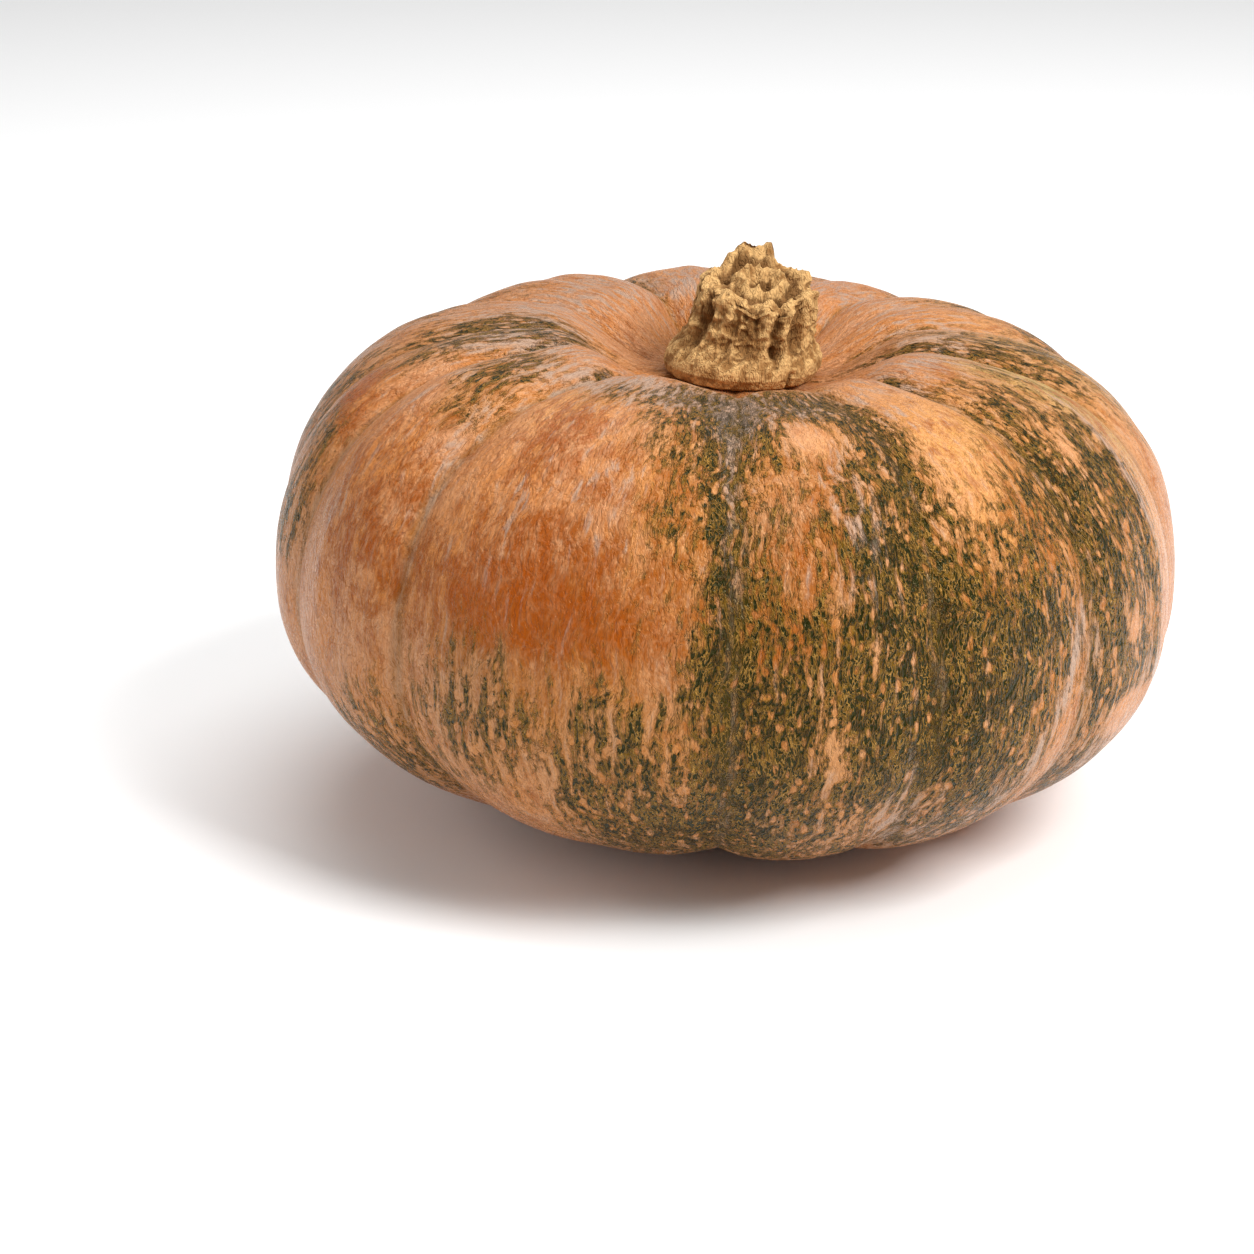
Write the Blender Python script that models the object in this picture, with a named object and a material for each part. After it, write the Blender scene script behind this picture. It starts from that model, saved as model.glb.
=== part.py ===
"""A whole ribbed pumpkin: the fruit and the dry, corky stem that it was cut with.

It stands on its blossom end, in metres with +Z up and its foot on z = 0. Azimuths are measured around +Z
from the front, which is -Y, and they grow towards +X. The fruit is one solid, because a pumpkin grows as
one piece. The stem is a second solid, 0.3 mm clear of the seat that it grows from.
"""

import math
from itertools import pairwise

import bmesh
import bpy
from mathutils import Matrix, Vector

# The fruit's meridian, before it leans. Heights are taken from its widest ring.
BODY_WIDTH = 0.250
UNDERSIDE_DEPTH = 0.0671
CREST_HEIGHT = 0.0686
CREST_RADIUS = 0.053
SEAT_RADIUS = 0.018
SEAT_DEPTH = 0.0124
BLOSSOM_RADIUS = 0.009
BLOSSOM_DEPTH = 0.0012
UNDERSIDE_FULLNESS = 2.13  # the power of the superellipse: 2 is a plain ellipse
CROWN_FULLNESS = 2.31

# How the fruit stands.
BODY_LEAN = math.radians(2.3)  # towards +X
FOOT_FLATNESS = 0.0012  # how much of the lowest skin is pressed flat

# The creases between the lobes: azimuth in degrees, and depth on the shoulder.
CREASES = (
    (2, 0.0045),
    (26, 0.0032),
    (50, 0.0042),
    (80, 0.0040),
    (106, 0.0036),
    (144, 0.0045),
    (176, 0.0038),
    (205, 0.0045),
    (240, 0.0045),
    (274, 0.0034),
    (291, 0.0032),
    (316, 0.0042),
)
LOBE_FULLNESS = 2.6  # the power of a lobe's cross-section: higher is flatter, with tighter creases
CREASE_SOFTNESS = 0.12  # how round the bottom of a crease is
SIDE_SHARE = 0.5  # of a crease's depth that is left at the widest ring
UNDERSIDE_FADE = 0.075  # radius inside which the creases fade out on the underside

# The stem, from its seat up. Its meridian is given as (radius, height) points.
SEAT_GAP = 0.0003
STEM_HEIGHT = 0.0260
STEM_OUTLINE = (
    (0.0000, 0.0000),
    (0.0090, 0.0000),
    (0.0172, 0.0000),
    (0.0202, 0.0012),
    (0.0213, 0.0034),
    (0.0209, 0.0060),
    (0.0193, 0.0086),
    (0.0176, 0.0118),
    (0.0169, 0.0160),
    (0.0163, 0.0205),
    (0.0158, 0.0240),
    (0.0148, 0.0258),
    (0.0122, 0.0260),
    (0.0094, 0.0252),
    (0.0062, 0.0232),
    (0.0030, 0.0218),
    (0.0000, 0.0214),
)
COLLAR_HEIGHT = 0.0086
STEM_SHIFT = 0.0014  # of its base towards +X
STEM_LEAN = math.radians(10)  # towards +X, beyond the body's own lean
STEM_RIDGES = 9
STEM_RIDGE_DEPTH = 0.0013
BREAK_SLOPE = math.radians(12)  # the broken end falls towards the front
BREAK_TILT = math.radians(5)  # and a little towards +X
SPUR_HEIGHT = 0.0042  # of the splinter left standing at the back of the break
SPUR_AZIMUTH = math.radians(183)
SPUR_SPREAD = math.radians(30)

FRUIT_SEGMENTS = 108
STEM_SEGMENTS = 54
BLOSSOM_STEPS = 3
UNDERSIDE_STEPS = 14
CROWN_STEPS = 14
SEAT_STEPS = 9
MERGE_DISTANCE = 1e-6

RIND_COLOUR = (0.40, 0.20, 0.08)
RIND_ROUGHNESS = 0.48
CORK_COLOUR = (0.46, 0.31, 0.15)
CORK_ROUGHNESS = 0.9


def clear_scene():
    for obj in list(bpy.data.objects):
        bpy.data.objects.remove(obj, do_unlink=True)


def smooth(share):
    """Eases a value from 0 to 1, and holds it there outside that range."""
    share = min(max(share, 0.0), 1.0)
    return share * share * (3 - 2 * share)


def mix(low, high, share):
    return low + (high - low) * share


def azimuth_of(point):
    """The azimuth of a point, from 0 to a full turn."""
    return math.atan2(point.x, -point.y) % math.tau


def fruit_meridian():
    """The fruit's half outline as (radius, height), from the blossom end round to the stem's seat."""
    side = BODY_WIDTH / 2
    points = []
    for step in range(BLOSSOM_STEPS):
        share = step / BLOSSOM_STEPS
        rise = BLOSSOM_DEPTH * smooth(1 - share)
        points.append((BLOSSOM_RADIUS * share, rise - UNDERSIDE_DEPTH))
    for step in range(UNDERSIDE_STEPS):
        turn = math.radians(90) * step / UNDERSIDE_STEPS
        out = math.sin(turn) ** (2 / UNDERSIDE_FULLNESS)
        down = math.cos(turn) ** (2 / UNDERSIDE_FULLNESS)
        points.append((mix(BLOSSOM_RADIUS, side, out), -UNDERSIDE_DEPTH * down))
    for step in range(CROWN_STEPS):
        turn = math.radians(90) * step / CROWN_STEPS
        out = math.cos(turn) ** (2 / CROWN_FULLNESS)
        up = math.sin(turn) ** (2 / CROWN_FULLNESS)
        points.append((mix(CREST_RADIUS, side, out), CREST_HEIGHT * up))
    for step in range(SEAT_STEPS + 1):
        radius = CREST_RADIUS * (1 - step / SEAT_STEPS)
        fall = smooth((CREST_RADIUS - radius) / (CREST_RADIUS - SEAT_RADIUS))
        points.append((radius, CREST_HEIGHT - SEAT_DEPTH * fall))
    return points


def lobe_depth(azimuth):
    """How far the skin lies below the lobes' crowns at an azimuth, at full crease depth."""
    degrees = math.degrees(azimuth)
    around = [*CREASES, (CREASES[0][0] + 360, CREASES[0][1])]
    if degrees < around[0][0]:
        degrees += 360
    for (start, start_depth), (end, end_depth) in pairwise(around):
        if degrees <= end:
            break
    across = (degrees - start) / (end - start)
    depth = start_depth if across < 0.5 else end_depth
    height = 1 - abs(2 * across - 1) ** LOBE_FULLNESS
    rounded = math.hypot(height, CREASE_SOFTNESS) - CREASE_SOFTNESS
    return depth * (1 - rounded / (math.hypot(1, CREASE_SOFTNESS) - CREASE_SOFTNESS))


def crease_share(radius, height):
    """The share of a crease's depth left at this place on the meridian."""
    reach = CREST_HEIGHT if height > 0 else UNDERSIDE_DEPTH
    share = mix(SIDE_SHARE, 1, min(abs(height) / reach, 1) ** 2)
    fade = CREST_RADIUS if height > 0 else UNDERSIDE_FADE
    return share * smooth(radius / fade)


def spin_outline(points, segments):
    """A closed solid of revolution about Z, from (radius, height) points that start and end on the axis."""
    bm = bmesh.new()
    verts = [bm.verts.new((radius, 0, height)) for radius, height in points]
    edges = [bm.edges.new(pair) for pair in pairwise(verts)]
    bmesh.ops.spin(
        bm,
        geom=verts + edges,
        cent=(0, 0, 0),
        axis=(0, 0, 1),
        angle=math.tau,
        steps=segments,
        use_merge=True,
    )
    bmesh.ops.remove_doubles(bm, verts=bm.verts, dist=MERGE_DISTANCE)
    bmesh.ops.recalc_face_normals(bm, faces=bm.faces)
    bm.normal_update()
    return bm


def finish_object(bm, name, colour, roughness):
    """Turns a bmesh into a smooth-shaded object with its own material."""
    mesh = bpy.data.meshes.new(name)
    bm.to_mesh(mesh)
    bm.free()
    mesh.shade_smooth()
    material = bpy.data.materials.new(name)
    material.use_nodes = True
    shader = material.node_tree.nodes["Principled BSDF"]
    shader.inputs["Base Color"].default_value = (*colour, 1)
    shader.inputs["Roughness"].default_value = roughness
    shader.inputs["Metallic"].default_value = 0.0
    mesh.materials.append(material)
    obj = bpy.data.objects.new(name, mesh)
    bpy.context.scene.collection.objects.link(obj)
    return obj


def make_fruit():
    """The ribbed fruit, leaning a little, with a small flat foot."""
    bm = spin_outline(fruit_meridian(), FRUIT_SEGMENTS)
    sinks = {}
    for vert in bm.verts:
        share = crease_share(Vector(vert.co.xy).length, vert.co.z)
        sinks[vert] = vert.normal * (lobe_depth(azimuth_of(vert.co)) * share)
    for vert, sink in sinks.items():
        vert.co -= sink
    bmesh.ops.rotate(bm, verts=bm.verts, cent=(0, 0, 0), matrix=Matrix.Rotation(BODY_LEAN, 3, "Y"))
    foot = min(vert.co.z for vert in bm.verts) + FOOT_FLATNESS
    for vert in bm.verts:
        vert.co.z = max(vert.co.z, foot)
    return finish_object(bm, "fruit", RIND_COLOUR, RIND_ROUGHNESS)


def break_height(azimuth, out):
    """How far the broken end stands above its mean height, at an azimuth and a share of the radius."""
    rim = STEM_OUTLINE[-6][0]
    fall = -math.cos(azimuth) * math.tan(BREAK_SLOPE) - math.sin(azimuth) * math.tan(BREAK_TILT)
    away = (azimuth - SPUR_AZIMUTH) / SPUR_SPREAD
    spur = SPUR_HEIGHT * math.exp(-(away**4)) * smooth(2 * out - 0.6)
    return rim * out * fall + spur


def make_stem():
    """The dry stem: a round collar, a ridged neck and a broken, hollow end with a spur at the back."""
    bm = spin_outline(STEM_OUTLINE, STEM_SEGMENTS)
    rim = STEM_OUTLINE[-6][0]
    for vert in bm.verts:
        azimuth = azimuth_of(vert.co)
        radius = Vector(vert.co.xy).length
        above = smooth((vert.co.z - COLLAR_HEIGHT / 2) / COLLAR_HEIGHT)
        if radius > rim / 2:
            ridge = STEM_RIDGE_DEPTH * (1 - math.cos(STEM_RIDGES * azimuth)) / 2
            vert.co.xy *= 1 - ridge * above / radius
        up = max(vert.co.z - COLLAR_HEIGHT, 0) / (STEM_HEIGHT - COLLAR_HEIGHT)
        vert.co.z += up * break_height(azimuth, min(radius / rim, 1))
    bmesh.ops.transform(
        bm, matrix=Matrix.Shear("XY", 4, (math.tan(STEM_LEAN), 0)), verts=bm.verts
    )
    seat = CREST_HEIGHT - SEAT_DEPTH + SEAT_GAP
    bmesh.ops.translate(bm, verts=bm.verts, vec=(STEM_SHIFT, 0, seat))
    bmesh.ops.rotate(bm, verts=bm.verts, cent=(0, 0, 0), matrix=Matrix.Rotation(BODY_LEAN, 3, "Y"))
    return finish_object(bm, "stem", CORK_COLOUR, CORK_ROUGHNESS)


def stand_on_origin(objects):
    """Moves the meshes together so that the middle of their box's underside is the origin."""
    points = [vert.co for obj in objects for vert in obj.data.vertices]
    low = Vector(map(min, zip(*points)))
    high = Vector(map(max, zip(*points)))
    middle = (low + high) / 2
    move = Matrix.Translation((-middle.x, -middle.y, -low.z))
    for obj in objects:
        obj.data.transform(move)


def main():
    clear_scene()
    stand_on_origin([make_fruit(), make_stem()])


main()
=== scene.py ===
"""A whole ribbed pumpkin on a pale floor: waxy mottled rind, and the dry, corky stem it was cut with.

The fruit and the stem are each one closed mesh, built at the place and size of their CAD nodes. Azimuths
are measured around +Z from the front, which is -Y, and grow towards +X. A station is the distance in
metres along the rind from the blossom end underneath, over the side and the crest, to the stem's seat.
"""

import logging
import math
from collections.abc import Callable, Iterable
from dataclasses import dataclass, field
from enum import Enum
from itertools import pairwise

import bmesh
import bpy
import numpy as np
from mathutils import Matrix, Vector, noise


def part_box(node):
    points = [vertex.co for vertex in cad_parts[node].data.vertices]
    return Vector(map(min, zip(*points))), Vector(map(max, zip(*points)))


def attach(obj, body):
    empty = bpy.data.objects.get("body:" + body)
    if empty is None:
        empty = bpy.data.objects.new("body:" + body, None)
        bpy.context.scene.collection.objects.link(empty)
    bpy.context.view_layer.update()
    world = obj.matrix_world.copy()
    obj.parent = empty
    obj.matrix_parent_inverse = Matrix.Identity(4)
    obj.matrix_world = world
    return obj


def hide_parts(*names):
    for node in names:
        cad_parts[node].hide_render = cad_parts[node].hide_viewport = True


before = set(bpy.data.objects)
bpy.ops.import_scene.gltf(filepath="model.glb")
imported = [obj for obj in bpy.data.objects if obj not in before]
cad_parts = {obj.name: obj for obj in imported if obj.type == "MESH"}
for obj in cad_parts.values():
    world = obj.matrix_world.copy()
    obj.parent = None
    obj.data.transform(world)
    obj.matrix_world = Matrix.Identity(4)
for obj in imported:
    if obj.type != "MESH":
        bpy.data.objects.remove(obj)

log = logging.getLogger("pumpkin")

Colour = tuple[float, float, float]
BODY = "root"
MERGE_DISTANCE = 1e-6
MM_PER_METRE = 1000
FINE_STEPS = 400
HALF_GREY = (0.5, 0.5, 0.5)


# ---------------------------------------------------------------------------------------------------
# Small maths
# ---------------------------------------------------------------------------------------------------


def smooth(share: np.ndarray | float) -> np.ndarray:
    """Eases a value from 0 to 1, and holds it there outside that range."""
    share = np.clip(share, 0.0, 1.0)
    return share * share * (3 - 2 * share)


def mix(low: float, high: float, share: np.ndarray | float) -> np.ndarray | float:
    """The value that lies a share of the way from low to high."""
    return low + (high - low) * share


def turn_between(degrees: np.ndarray, other: float) -> np.ndarray:
    """The signed turn in degrees from one azimuth to others, from -180 to 180."""
    return (degrees - other + 180) % 360 - 180


def bell(distance: np.ndarray, spread: float) -> np.ndarray:
    """A smooth bump of height 1, which has fallen to 0.6 one spread away."""
    return np.exp(-0.5 * (distance / spread) ** 2)


def sampled(points: np.ndarray, sample: Callable[[Vector], float]) -> np.ndarray:
    """One of mathutils' noises at each point.

    Args:
        points: An array of rows x, y, z, already scaled to the noise's cell size.
        sample: A function of one point that gives a number.

    Returns:
        One number for each row.
    """
    return np.fromiter((sample(Vector(point)) for point in points), float, len(points))


# ---------------------------------------------------------------------------------------------------
# Meshes
# ---------------------------------------------------------------------------------------------------


def spin_outline(outline: np.ndarray, segments: int) -> bpy.types.Mesh:
    """A closed solid of revolution about Z.

    Args:
        outline: Rows of (radius, height, station) that start and end on the axis.
        segments: The number of steps around.

    Returns:
        A mesh that keeps each point's station as a float attribute.
    """
    bm = bmesh.new()
    station = bm.verts.layers.float.new("station")
    verts = []
    for radius, height, along in outline:
        vert = bm.verts.new((radius, 0, height))
        vert[station] = along
        verts.append(vert)
    edges = [bm.edges.new(pair) for pair in pairwise(verts)]
    bmesh.ops.spin(
        bm,
        geom=verts + edges,
        cent=(0, 0, 0),
        axis=(0, 0, 1),
        angle=math.tau,
        steps=segments,
        use_merge=True,
    )
    bmesh.ops.remove_doubles(bm, verts=bm.verts, dist=MERGE_DISTANCE)
    bmesh.ops.recalc_face_normals(bm, faces=bm.faces)
    mesh = bpy.data.meshes.new("spun")
    bm.to_mesh(mesh)
    bm.free()
    return mesh


def read_points(mesh: bpy.types.Mesh, name: str = "position") -> np.ndarray:
    """A vector attribute of a mesh's points, as rows of x, y and z."""
    values = np.empty(len(mesh.vertices) * 3, np.float32)
    mesh.attributes[name].data.foreach_get("vector", values)
    return values.reshape(-1, 3).astype(float)


def read_values(mesh: bpy.types.Mesh, name: str) -> np.ndarray:
    """A float attribute of a mesh's points."""
    values = np.empty(len(mesh.vertices), np.float32)
    mesh.attributes[name].data.foreach_get("value", values)
    return values.astype(float)


def point_normals(mesh: bpy.types.Mesh) -> np.ndarray:
    """The normals of a mesh's points, as rows of x, y and z."""
    values = np.empty(len(mesh.vertices) * 3, np.float32)
    mesh.vertex_normals.foreach_get("vector", values)
    return values.reshape(-1, 3).astype(float)


def write_points(mesh: bpy.types.Mesh, points: np.ndarray) -> None:
    """Moves a mesh's points to these rows of x, y and z."""
    mesh.vertices.foreach_set("co", points.astype(np.float32).ravel())
    mesh.update()


def write_attribute(mesh: bpy.types.Mesh, name: str, values: np.ndarray) -> None:
    """Keeps one number, or one vector, for each point of a mesh under a name that a material reads."""
    kind, key = ("FLOAT", "value") if values.ndim == 1 else ("FLOAT_VECTOR", "vector")
    made = mesh.attributes.new(name, kind, "POINT")
    made.data.foreach_set(key, values.astype(np.float32).ravel())


def finish_piece(
    mesh: bpy.types.Mesh, name: str, material: bpy.types.Material, node: str
) -> bpy.types.Object:
    """Makes a mesh a piece that rides on the body and stands for its CAD node.

    Args:
        mesh: The finished mesh, in place.
        name: The piece's name.
        material: Its material.
        node: The CAD node that it replaces.

    Returns:
        The piece's object.
    """
    mesh.name = name
    mesh.shade_smooth()
    mesh.materials.append(material)
    piece = bpy.data.objects.new(name, mesh)
    bpy.context.scene.collection.objects.link(piece)
    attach(piece, BODY)
    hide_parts(node)
    triangles = sum(len(face.vertices) - 2 for face in mesh.polygons)
    log.info("%s: %d triangles, stands for %s", name, triangles, node)
    return piece


# ---------------------------------------------------------------------------------------------------
# Material nodes
# ---------------------------------------------------------------------------------------------------

Value = bpy.types.NodeSocket | float | tuple[float, ...]


class Nodes:
    """Adds nodes to one node tree and joins them, in plain calls."""

    def __init__(self, tree: bpy.types.NodeTree) -> None:
        """Starts on an existing tree.

        Args:
            tree: The tree of a material or of a node group.
        """
        self.tree = tree

    def give(self, socket: bpy.types.NodeSocket, value: Value) -> None:
        """Joins a socket to another, or sets its own value."""
        if isinstance(value, bpy.types.NodeSocket):
            self.tree.links.new(value, socket)
        elif isinstance(value, tuple) and socket.type == "RGBA":
            socket.default_value = (*value[:3], 1.0)
        else:
            socket.default_value = value

    def add(
        self, kind: str, inputs: dict[str | int, Value] | None = None, **settings: object
    ) -> bpy.types.Node:
        """Adds one node.

        Args:
            kind: Blender's name for the node, after "ShaderNode".
            inputs: Values or sockets for its inputs, by name or number.
            settings: Its other properties.

        Returns:
            The node.
        """
        node = self.tree.nodes.new(f"ShaderNode{kind}")
        for name, value in settings.items():
            setattr(node, name, value)
        for name, value in (inputs or {}).items():
            self.give(node.inputs[name], value)
        return node

    def maths(self, operation: str, *values: Value, clamp: bool = False) -> bpy.types.NodeSocket:
        """A Math node's result."""
        node = self.add("Math", dict(enumerate(values)), operation=operation, use_clamp=clamp)
        return node.outputs[0]

    def vectors(self, operation: str, *values: Value) -> bpy.types.NodeSocket:
        """A Vector Math node's vector."""
        return self.add("VectorMath", dict(enumerate(values)), operation=operation).outputs[0]

    def scaled(self, vector: Value, scale: Value) -> bpy.types.NodeSocket:
        """A vector times a number."""
        node = self.add("VectorMath", {0: vector, "Scale": scale}, operation="SCALE")
        return node.outputs[0]

    def blend(self, share: Value, low: Value, high: Value) -> bpy.types.NodeSocket:
        """A colour between two others, by a share from 0 to 1."""
        node = self.add("Mix", data_type="RGBA", blend_type="MIX", clamp_factor=True)
        for name, value in (("Factor_Float", share), ("A_Color", low), ("B_Color", high)):
            self.give(next(s for s in node.inputs if s.identifier == name), value)
        return next(s for s in node.outputs if s.identifier == "Result_Color")

    def between(self, value: Value, low: float, high: float) -> bpy.types.NodeSocket:
        """A smooth step: 0 below low, 1 above high. It falls instead where low is the larger."""
        node = self.add("MapRange", interpolation_type="SMOOTHSTEP", clamp=True)
        for name, given in (("Value", value), ("From Min", low), ("From Max", high)):
            self.give(node.inputs[name], given)
        return node.outputs["Result"]

    def noise(
        self, vector: Value, cell: float, detail: float = 2.0, **inputs: Value
    ) -> bpy.types.NodeSocket:
        """A noise whose cells are about this size in metres, from 0 to 1."""
        given = {"Vector": vector, "Scale": 1 / cell, "Detail": detail, **inputs}
        return self.add("TexNoise", given, normalize=True).outputs["Fac"]

    def attribute(self, name: str, output: str = "Fac") -> bpy.types.NodeSocket:
        """One of the piece's own attributes."""
        return self.add("Attribute", attribute_name=name).outputs[output]


def new_material(name: str) -> tuple[bpy.types.Material, Nodes, bpy.types.Node]:
    """A material with a Principled BSDF.

    Args:
        name: The material's name.

    Returns:
        The material, its nodes, and its Principled BSDF.
    """
    material = bpy.data.materials.new(name)
    material.use_nodes = True
    nodes = Nodes(material.node_tree)
    return material, nodes, material.node_tree.nodes["Principled BSDF"]


def place_group(
    nodes: Nodes, group: bpy.types.NodeTree, inputs: dict[str, Value]
) -> bpy.types.Node:
    """Puts a node group in a material.

    Args:
        nodes: The material's nodes.
        group: The group.
        inputs: Values or sockets for its inputs.

    Returns:
        The group's node.
    """
    node = nodes.add("Group", node_tree=group)
    for name, value in inputs.items():
        nodes.give(node.inputs[name], value)
    return node


def new_group(
    name: str, inputs: dict[str, str], outputs: dict[str, str]
) -> tuple[
    bpy.types.NodeTree, Nodes, bpy.types.bpy_prop_collection, bpy.types.bpy_prop_collection
]:
    """An empty node group.

    Args:
        name: The group's name.
        inputs: Its inputs' names and socket types.
        outputs: Its outputs' names and socket types.

    Returns:
        The group, its nodes, the sockets that its inputs arrive at, and those that it puts out.
    """
    group = bpy.data.node_groups.new(name, "ShaderNodeTree")
    for side, sockets in (("INPUT", inputs), ("OUTPUT", outputs)):
        for title, kind in sockets.items():
            group.interface.new_socket(title, in_out=side, socket_type=kind)
    nodes = Nodes(group)
    entry = group.nodes.new("NodeGroupInput")
    leave = group.nodes.new("NodeGroupOutput")
    return group, nodes, entry.outputs, leave.inputs


def worm_group() -> bpy.types.NodeTree:
    """Fine worm-like wrinkles of a drying skin: thin wandering lines, and the soft relief between them."""
    number, vector = "NodeSocketFloat", "NodeSocketVector"
    group, nodes, given, made = new_group(
        "Worm wrinkles",
        {"Vector": vector, "Density": number, "Wander": number, "Line width": number},
        {"Lines": number, "Relief": number},
    )
    place = nodes.scaled(given["Vector"], given["Density"])
    drift = nodes.add("TexNoise", {"Vector": place, "Scale": 0.45, "Detail": 1.0}).outputs["Color"]
    drift = nodes.scaled(nodes.vectors("SUBTRACT", drift, HALF_GREY), given["Wander"])
    place = nodes.vectors("ADD", place, drift)
    relief = nodes.add("TexNoise", {"Vector": place, "Scale": 1.0, "Detail": 1.0}).outputs["Fac"]
    away = nodes.maths("ABSOLUTE", nodes.maths("SUBTRACT", relief, 0.5))
    lines = nodes.maths("SUBTRACT", 1.0, nodes.maths("DIVIDE", away, given["Line width"]), clamp=True)
    nodes.give(made["Lines"], lines)
    nodes.give(made["Relief"], relief)
    return group


# ---------------------------------------------------------------------------------------------------
# The fruit
# ---------------------------------------------------------------------------------------------------


class Tint(Enum):
    """The colours that the rind takes by place. A value is the name of the mesh attribute."""

    GREEN = "green"
    AMBER = "amber"
    BLOOM = "bloom_and_sheen"
    PEACH = "peach"
    GOLD = "gold"
    LIME = "lime"


@dataclass(frozen=True)
class Crease:
    """A valley between two lobes, from the stem down to the blossom end.

    Azimuths are in degrees and depths in metres. swell is how far the lobe after it stands proud on the
    shoulder, and crown is the share of its depth that is left beside the stem.
    """

    azimuth: float
    depth: float
    swell: float = 0.0
    crown: float = 1.0


@dataclass(frozen=True)
class Fold:
    """A faint rib (positive height) or furrow that runs along a lobe between two stations."""

    azimuth: float
    height: float
    spread: float
    low: float
    high: float


@dataclass(frozen=True)
class Patch:
    """A soft-edged patch of one tint.

    station and along, its spread down the rind, are in millimetres, and azimuth and across in degrees.
    slant is how many degrees its upper half turns in each millimetre.
    """

    azimuth: float
    station: float
    across: float
    along: float
    strength: float
    slant: float = 0.0


@dataclass(frozen=True)
class Scar:
    """A small dent or pimple on the rind: a positive height is a pimple."""

    azimuth: float
    station: float
    size: float
    height: float


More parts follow.
